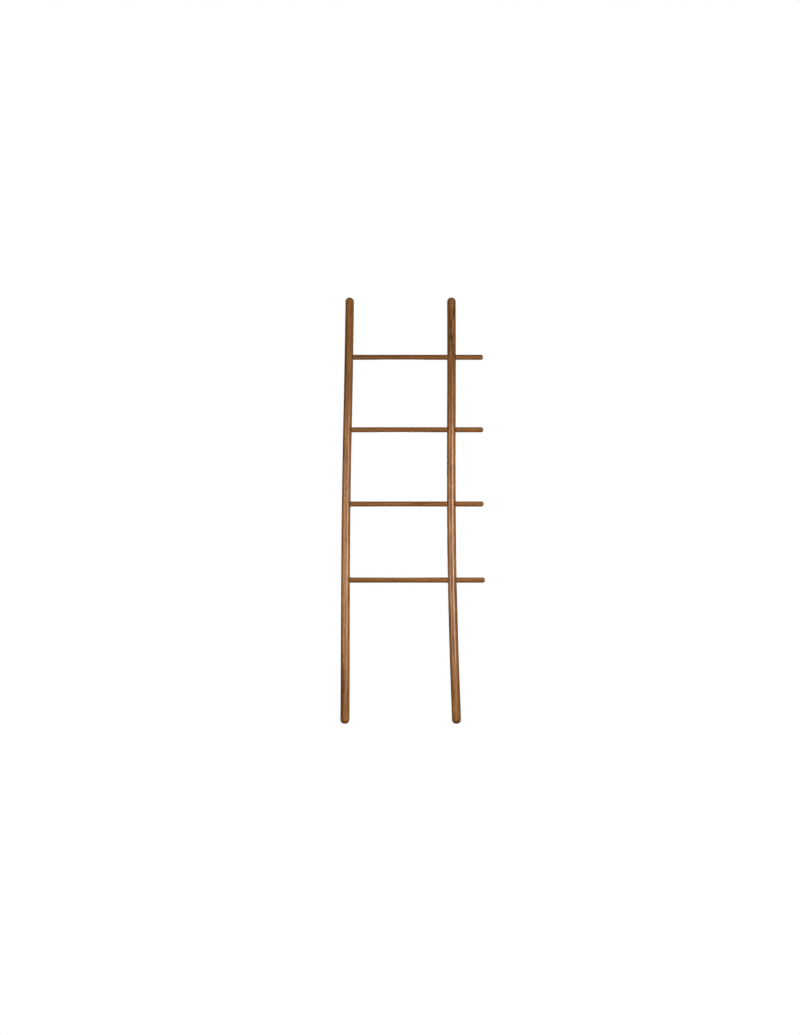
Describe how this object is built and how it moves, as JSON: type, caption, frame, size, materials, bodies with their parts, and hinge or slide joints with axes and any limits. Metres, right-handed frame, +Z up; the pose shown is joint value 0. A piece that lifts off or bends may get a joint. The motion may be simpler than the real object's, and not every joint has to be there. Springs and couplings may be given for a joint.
{
  "type": "leaning ladder rack",
  "caption": "Leaning ladder rack for towels or blankets: round wooden posts joined by round rungs that run on past one post as pegs.",
  "frame": {"origin": "centre of the bounding box at floor level", "axes": "+Z up along the posts, +X along the rungs towards the tips of the pegs, +Y to the back, towards the wall that the rack leans on"},
  "size_m": [0.5194, 0.032, 1.566],
  "materials": {
    "post_wood": "brown stained hardwood under satin varnish",
    "rung_wood": "brown stained hardwood under satin varnish, a shade more orange than the posts",
    "pin_wood": "stained dowel, end grain sanded and varnished"
  },
  "bodies": {
    "root": {"left_post": "post_wood", "right_post": "post_wood", "rung_bottom": "rung_wood", "pin_left_bottom": "pin_wood", "pin_right_bottom": "pin_wood", "rung_lower": "rung_wood", "pin_left_lower": "pin_wood", "pin_right_lower": "pin_wood", "rung_upper": "rung_wood", "pin_left_upper": "pin_wood", "pin_right_upper": "pin_wood", "rung_top": "rung_wood", "pin_left_top": "pin_wood", "pin_right_top": "pin_wood"}
  },
  "joints": []
}
